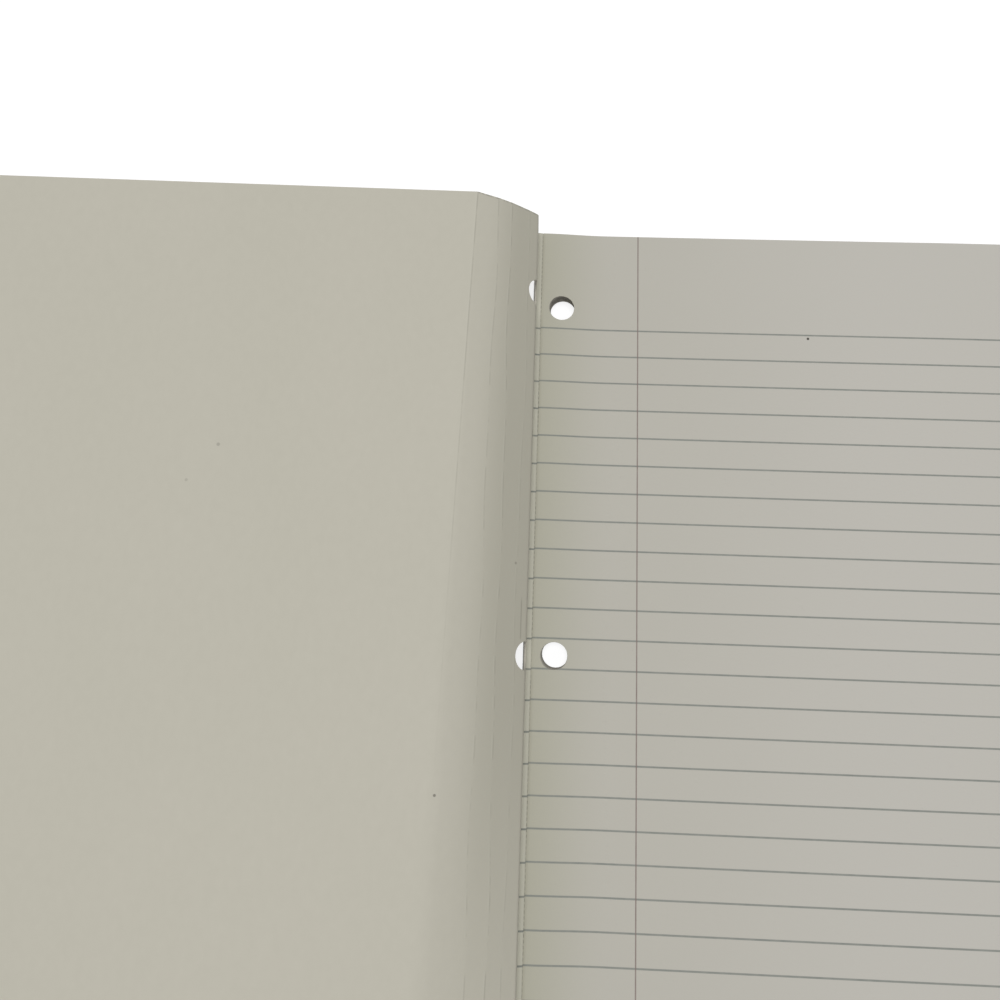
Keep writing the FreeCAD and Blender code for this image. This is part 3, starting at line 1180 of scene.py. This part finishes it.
# %% [markdown]
# ## The front cover
#
# The card is one piece on the real notebook, but it crosses three joints, and a mesh
# can bend between two bodies only. So it is cut into pieces, each seam in a stretch
# that stays stiff: halfway down the spine, low on the first strip, and just past the
# holes. The two lower holes have slipped a little towards the fold that crosses them.

# %% Cover pieces
SPINE_SEAM = -(wrap_high.z - wrap_low.z) / 2
WALL_SEAM = 2.2 * MM
STRIP_SEAM = 15.6 * MM
LOWER_HOLE_SLIP = 0.8 * MM
COVER_WINDOW = 5.6 * MM
FAR_OFF = 99.0  # what the back cover has for its distance from every crease


def card_piece(name, points, quads, place, creased=True):
    """A piece of the folded card from its flat layout. The back cover isn't creased."""
    s, y = points[:, 0], points[:, 1]
    outside, inside = place(s, y, np.zeros_like(s)), place(s, y, np.full_like(s, CARD))
    lines = [crease_at(y)] + [soft_crease_at(y, n) for n in range(len(SOFT_CREASES))]
    away = [(s - line) / MM if creased else np.full_like(s, FAR_OFF) for line in lines]
    patterns = {
        "flat": np.column_stack([(s if creased else -s) / MM, y / MM, away[0]]),
        "soft": np.column_stack(away[1:]),
    }
    piece = add_object(name, sheet_mesh(name, outside, inside, quads, card_materials, patterns))
    print(f"{name}: {len(piece.data.polygons)} faces")
    return piece


rows = rows_up(COVER_WINDOW, 40, 16)
gutter_columns = spread(SPINE_SEAM, (-GUTTER_SOFT, 3), (GUTTER_SOFT, 12), (WALL_SEAM, 2))
points, quads = punched_grid(gutter_columns, rows, [], COVER_WINDOW, 1)
gutter_piece = card_piece("cover_gutter", points, quads, cover_place)

hole_columns = spread(
    WALL_SEAM, (COVER_HOLES_AT - COVER_WINDOW, 1), (HOLE_FOLD_AT - HOLE_SOFT, 10),
    (HOLE_FOLD_AT + HOLE_SOFT, 8), (COVER_HOLES_AT + COVER_WINDOW, 8), (STRIP_SEAM, 3),
)
slips = {y: 0 if y == max(HOLES_Y) else LOWER_HOLE_SLIP for y in HOLES_Y}
cover_holes = [(COVER_HOLES_AT, y, HOLE_RADIUS, (slips[y], 0)) for y in HOLES_Y]
points, quads = punched_grid(hole_columns, rows, cover_holes, COVER_WINDOW, 7)
hole_piece = card_piece("cover_hole_strip", points, quads, cover_place)

# %% [markdown]
# ## The cover panel
#
# The main crease runs askew, so straight columns would cross it and break it into
# steps. The panel's grid is drawn with numbered columns instead, and in each row their
# distances from the gutter follow the crease: evenly spaced up to it, close together
# across it, and evenly spaced from there to the fore-edge.

# %% Panel
CREASE_BAND, CREASE_CORE = 4.2 * MM, 0.6 * MM
BEFORE, BEYOND = 36, 30  # steps before and beyond the columns near the crease
near_crease = spread(-CREASE_BAND, (-CREASE_CORE, 7), (CREASE_CORE, 8), (CREASE_BAND, 7))


def panel_distances(y):
    """Distances from the gutter of the panel's columns at height y."""
    near = [crease_at(y) + d for d in near_crease]
    inner = spread(STRIP_SEAM, (near[0], BEFORE))
    outer = spread(near[-1], (COVER_LENGTH, BEYOND))
    return inner + near[1:] + outer[1:]


distances = {y: panel_distances(y) for y in rows}
numbers = list(range(len(distances[rows[0]])))
points, quads = punched_grid(numbers, rows, [], COVER_WINDOW, 1)
points[:, 0] = [distances[y][int(number)] for number, y in points]
panel_piece = card_piece("cover_panel", points, quads, cover_place)

# %% [markdown]
# ## The spine and the back cover
#
# The same card goes down the spine, turns the lower corner and lies flat under the
# leaves, where it is punched with the leaves' holes. It hinges at that corner, so one
# sheet holds the lower half of the spine and the whole back cover. Its holes have
# moved with the leaning stack above them.

# %% Back cover
CORNER_TURN = CARD * math.pi / 2
SPINE_RUN = -SPINE_SEAM - CARD


def back_place(s, y, depth):
    """Places on the spine's lower half, its corner and the back cover.

    s is X on the back cover. Up the spine it runs on below the gutter's X. The corner
    turns about the card's inner edge.
    """
    past = np.clip(GUTTER.x - s, 0, None)
    turned = np.clip(past / CORNER_TURN, 0, 1) * math.pi / 2
    up = np.clip(past - CORNER_TURN, 0, None)
    radius = CARD - depth
    x = np.maximum(s, GUTTER.x) - radius * np.sin(turned)
    z = CARD - radius * np.cos(turned) + up
    return np.column_stack([x, y, z])


corner_start = GUTTER.x - CORNER_TURN
back_columns = spread(
    corner_start - SPINE_RUN, (corner_start, 3), (GUTTER.x, 8), (GUTTER.x + 1.0 * MM, 4),
    (-COVER_WINDOW, 1), (COVER_WINDOW, 16), (FORE_EDGE_X, 40),
)
back_holes = [(x, y, radius, STACK_LEAN) for x, y, radius, _ in hole_places]
points, quads = punched_grid(back_columns, rows, back_holes, COVER_WINDOW, 3)
face_down = [tuple(reversed(quad)) for quad in quads]
back_piece = card_piece("cover_back", points, face_down, back_place, creased=False)

# %% [markdown]
# ## The card pieces in place
#
# Each piece of the card keeps the place it was drawn in, and the solids that it stands
# for are hidden. The width of the main crease's bend, across its axis, is printed.

# %% Fix the card pieces
CREASE_REACH = 2.5 * MM  # how far the main crease bends to each side

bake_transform(gutter_piece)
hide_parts("hinge_strip", "spine_wrap")

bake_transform(hole_piece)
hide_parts("fold_strip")

middle = np.zeros(1)
before, after = (
    Vector(cover_place(CREASE_AT[:1] + side * CREASE_REACH, middle, middle)[0]) for side in (-1, 1)
)
crease_axis = Vector(crease_joint["axis"]).normalized()
span = after - before
span -= crease_axis * span.dot(crease_axis)
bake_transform(panel_piece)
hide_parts("front_cover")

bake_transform(back_piece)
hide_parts("back_cover", "spine_wrap")
print(f"main crease bends over {span.length / MM:.2f} mm")
